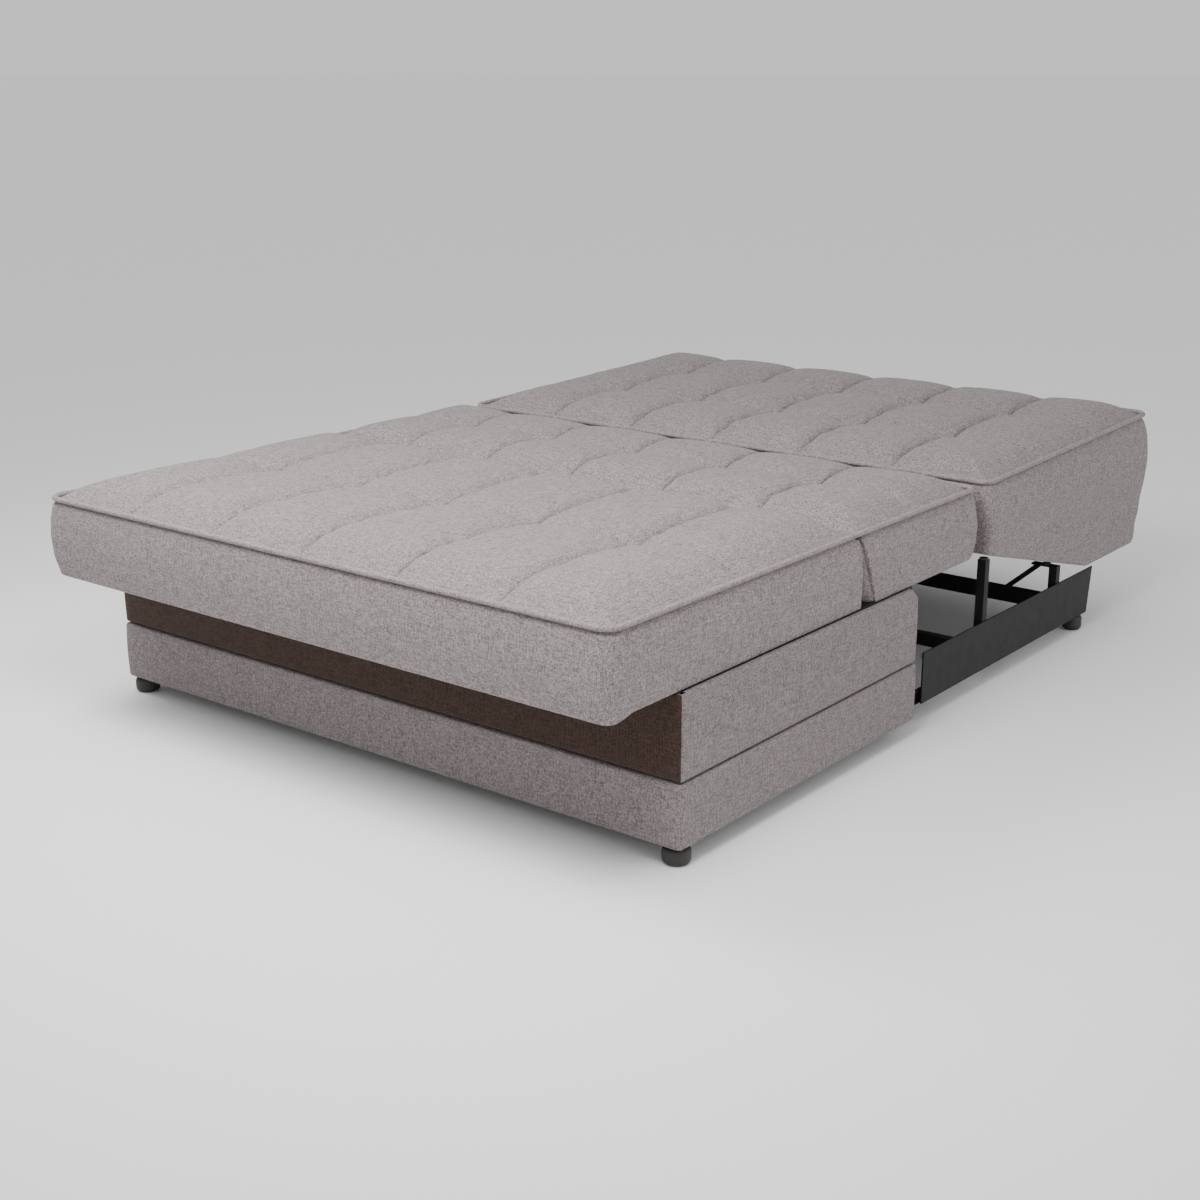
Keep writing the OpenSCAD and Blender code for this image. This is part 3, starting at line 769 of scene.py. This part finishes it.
def make_fold_cloth():
    """The strip of cover that closes the valley between the seat and the middle panel."""
    rows = 16
    columns = 120
    floor_z = FOLD_Z + 0.0005
    half_strip = 0.016      # it reaches this far to both sides of the fold
    slope = 0.6             # and climbs at this slope from half_floor on
    half_floor = 0.003
    end_rise = 0.009        # it is lifted by this much at both ends, over end_run from end_x on
    end_run = 0.03
    end_x = 0.61
    d = np.linspace(-half_strip, half_strip, rows + 1)
    x = np.linspace(-HALF_CUSHION + PIPE_INSET, HALF_CUSHION - PIPE_INSET, columns + 1)
    rise = end_rise * np.clip((np.abs(x) - end_x) / end_run, 0, 1)
    z = floor_z + np.maximum((np.abs(d)[:, None] - half_floor) * slope, rise[None, :])
    verts = np.stack(np.broadcast_arrays(x[None, :], FOLD_Y + d[:, None], z), axis=-1).reshape(-1, 3)
    strip = new_piece("fold_cloth", verts, grid_faces(rows, columns), "fabric", None)
    thicken(strip)
    across_fold(strip)


def thicken(obj):
    """Turns a sheet into cloth of CLOTH_THICKNESS."""
    wall = obj.modifiers.new("thickness", "SOLIDIFY")
    wall.thickness = CLOTH_THICKNESS
    wall.offset = 0


# ---- base upholstery -------------------------------------------------------------------------------

SIDE_STEPS = 40         # points along a side of the base
FRONT_STEPS = 80        # and along its front
BAND_SWELL = 0.0018     # how far the cloth of a band stands out halfway up
BAND_ROUND = 0.0045     # radius of its upper and lower edges
LOWER_CORNER = 0.01     # radius of the lower band's front corners in plan
FRONT_JOINT = 0.0025    # the seam between the upper front panel and the side panels lies this far in
REAR_ROUND = 0.016      # radius of the upper side panels' rear corners, seen from the side


def band_ring(z, z0, z1, grow, radius):
    """How far the cloth stands out at height z on a band from z0 to z1 with softly rounded edges."""
    edge = max(min(z - z0, z1 - z), 0)
    tuck = radius - math.sqrt(max(radius ** 2 - (radius - min(edge, radius)) ** 2, 0))
    return grow * math.sin(math.pi * (z - z0) / (z1 - z0)) - tuck


def u_path(half, y_front, y_rear, r):
    """Plan of the outside of a base band: along the left side, round the front and back along the right."""
    side_end = y_front + r
    left_end = -half + r
    right_end = half - r
    turn = np.linspace(0, math.pi / 2, 9)
    path = [(-half, y_rear + (side_end - y_rear) * i / SIDE_STEPS) for i in range(SIDE_STEPS)]
    path += [(left_end - r * math.cos(a), side_end - r * math.sin(a)) for a in turn]
    path += [(left_end + (2 * half - 2 * r) * i / FRONT_STEPS, y_front) for i in range(1, FRONT_STEPS)]
    path += [(right_end + r * math.sin(a), side_end - r * math.cos(a)) for a in turn]
    path += [(half, side_end + (y_rear - y_front - r) * i / SIDE_STEPS) for i in range(1, SIDE_STEPS + 1)]
    return np.array(path)


def band_shell(path, z0, z1, thick, rear_round=0.0):
    """A padded board bent round a path in plan: outer skin, top, inner skin and underside."""
    tangent = np.gradient(path, axis=0)
    normal = np.stack([-tangent[:, 1], tangent[:, 0]], axis=-1)
    normal /= np.linalg.norm(normal, axis=1)[:, None]
    close = 0.008           # the rows lie closer together within this distance of both edges
    spread = 0.012          # and are evenly spread beyond this one
    turn = np.linspace(0, math.pi / 2, 5)
    heights = np.concatenate([z0 + close * (1 - np.cos(turn)),
                              np.linspace(z0 + spread, z1 - spread, 9),
                              z1 - close * (1 - np.cos(turn[::-1]))])
    outline = [(band_ring(z, z0, z1, BAND_SWELL, BAND_ROUND), z) for z in heights]
    outline += [(-thick, z1), (-thick, z0)]
    verts = []
    for point, out in zip(path, -normal):
        for depth, z in outline:
            verts.append((point[0] + out[0] * depth, point[1] + out[1] * depth, z))
    verts = np.array(verts)
    if rear_round:
        rear = path[:, 1].max()
        back = np.clip((verts[:, 1] - (rear - rear_round)) / rear_round, 0, 1)
        lowered = rear_round * (1 - np.sqrt(np.clip(1 - back ** 2, 0, 1)))
        top = z1 - lowered
        verts[:, 2] = z0 + (verts[:, 2] - z0) * (top - z0) / (z1 - z0)
    n = len(outline)
    faces = []
    for i in range(len(path) - 1):
        for k in range(n):
            a = i * n + k
            b = i * n + (k + 1) % n
            faces.append((a, a + n, b + n, b))
    faces.append(tuple(range(n)))
    last = (len(path) - 1) * n
    faces.append(tuple(last + k for k in reversed(range(n))))
    return verts, faces


def soft_seams(obj, width=0.002):
    """Bevels the sharp edges of a piece."""
    bevel = obj.modifiers.new("edges", "BEVEL")
    bevel.width = width
    bevel.segments = 2
    bevel.limit_method = "ANGLE"
    bevel.angle_limit = math.radians(50)


def make_base():
    """The lower band is one padded board round three sides, and the upper band has three of them."""
    low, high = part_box("lower_front_panel")
    side_low, side_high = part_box("lower_side_right")
    path = u_path(HALF_BASE, low[1], side_high[1], LOWER_CORNER)
    lower = new_piece("lower_band", *band_shell(path, low[2], high[2], side_high[0] - side_low[0]),
                      "base_fabric", "base")
    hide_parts("lower_front_panel", "lower_side_left", "lower_side_right")
    soft_seams(lower)
    low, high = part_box("upper_side_right")
    front_low, front_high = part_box("upper_front_panel")
    for s, name in ((-1, "left"), (1, "right")):
        run = front_low[1] + FRONT_JOINT - high[1]
        path = np.array([(s * high[0], high[1] + run * i / SIDE_STEPS) for i in range(SIDE_STEPS + 1)])
        if s > 0:
            path = path[::-1]
        verts, faces = band_shell(path, low[2], high[2], high[0] - low[0], REAR_ROUND)
        side = new_piece("upper_band_" + name, verts, faces, "base_fabric", "base")
        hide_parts("upper_side_" + name)
        soft_seams(side)
    half = front_high[0] - FRONT_JOINT
    path = np.array([(-half + 2 * half * i / FRONT_STEPS, front_low[1]) for i in range(FRONT_STEPS + 1)])
    verts, faces = band_shell(path, front_low[2], front_high[2], front_high[1] - front_low[1])
    # the front panel gets the painted-shade cloth: dark brown for the shade under the seat's overhang
    front = new_piece("upper_band_front", verts, faces, "shadow_fabric", "base")
    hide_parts("upper_front_panel")
    soft_seams(front)


# ---- pleat between seat and backrest ----------------------------------------------------------------


def make_pleats():
    """The boxing's spare cloth at the fold, tucked in between the seat and the middle panel."""
    columns = 26
    rows = 16
    start = 0.006           # the cloth starts this far below the fold
    lap = 0.012             # and reaches this far behind the boxing on both sides
    ripple_height = 0.0022
    ripple_angle = 34       # radians of ripple across the pleat
    length = FOLD_Z - COVER_LOW
    for s, name in ((-1, "left"), (1, "right")):
        verts = []
        for i in range(rows + 1):
            fall = i / rows
            down = start + (length - start) * fall
            y_seat = FOLD_Y - FOLD_GAP + SEAT_LEAN * fall - lap
            y_middle = FOLD_Y + FOLD_GAP + MIDDLE_LEAN * fall + lap
            deepest = 0.034 * fall + 0.008
            for k in range(columns + 1):
                share = k / columns
                tuck = np.interp(share, [0, 0.22, 0.36, 0.8, 1], [0.004, 0.006, deepest, 0.006, 0.006])
                ripple = ripple_height * fall ** 2 * math.sin(share * ripple_angle) * (1 - share)
                verts.append((s * (HALF_CUSHION - tuck - ripple), y_seat + share * (y_middle - y_seat),
                              FOLD_Z - down))
        pleat = new_piece("fold_pleat_" + name, verts, grid_faces(rows, columns), "fabric", None)
        thicken(pleat)
        across_fold(pleat)


# ---- feet ------------------------------------------------------------------------------------------


def lathe(name, centre, outline, slot, body, sides=40):
    """A turned piece about an upright axis; outline lists its (radius, height) from the bottom up."""
    verts = []
    for r, z in outline:
        for k in range(sides):
            a = 2 * math.pi * k / sides
            verts.append((centre[0] + r * math.cos(a), centre[1] + r * math.sin(a), z))
    faces = ring_faces(len(outline), sides)
    faces.append(tuple(reversed(range(sides))))
    faces.append(tuple((len(outline) - 1) * sides + k for k in range(sides)))
    return new_piece(name, verts, faces, slot, body)


def make_feet():
    """Bun feet: a rounded tread, a slightly swollen body and a thin collar under the board."""
    tread = [(0.55, 0), (0.72, 0.01)]       # all in shares of the foot's radius and height
    swell = [(0.72 + 0.28 * math.sin(a), 0.30 - 0.29 * math.cos(a))
             for a in np.linspace(0.3, math.pi / 2, 7)]
    collar = [(1, 0.55), (0.985, 0.7), (0.9, 0.82), (0.72, 0.87), (0.72, 0.93), (0.8, 0.95), (0.8, 1)]
    for node, body in (("front_foot_left", "base"), ("front_foot_right", "base"),
                       ("rear_foot_left", "base"), ("rear_foot_right", "base"),
                       ("pullout_foot_left", "pullout_frame"), ("pullout_foot_right", "pullout_frame")):
        low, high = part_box(node)
        radius = (high[0] - low[0]) / 2
        centre = ((low[0] + high[0]) / 2, (low[1] + high[1]) / 2)
        outline = [(radius * r, high[2] * z) for r, z in tread + swell + collar]
        foot = lathe(node + "_turned", centre, outline, "foot_plastic", body)
        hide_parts(node)
        soft_seams(foot, HARD_EDGE)


# ---- finish of the CAD nodes -------------------------------------------------------------------------


def finish_frame_nodes():
    """Gives every CAD node its material, and the hard ones a small bevel that catches the light."""
    slots = {part["node"]: part["material_slot"] for part in frame["record"]["subparts"]}
    for node, obj in frame["nodes"].items():
        slot = slots[node]
        for place in obj.material_slots:
            place.material = MATERIALS[slot]
        if slot in ("black_steel", "grey_steel", "wood", "zinc"):
            soft_seams(obj, HARD_EDGE)


make_camera()
make_lights()
make_floor()
finish_frame_nodes()
panels = make_cushions()
make_piping(panels)
make_base()
make_fold_piping()
make_fold_cloth()
make_pleats()
make_feet()
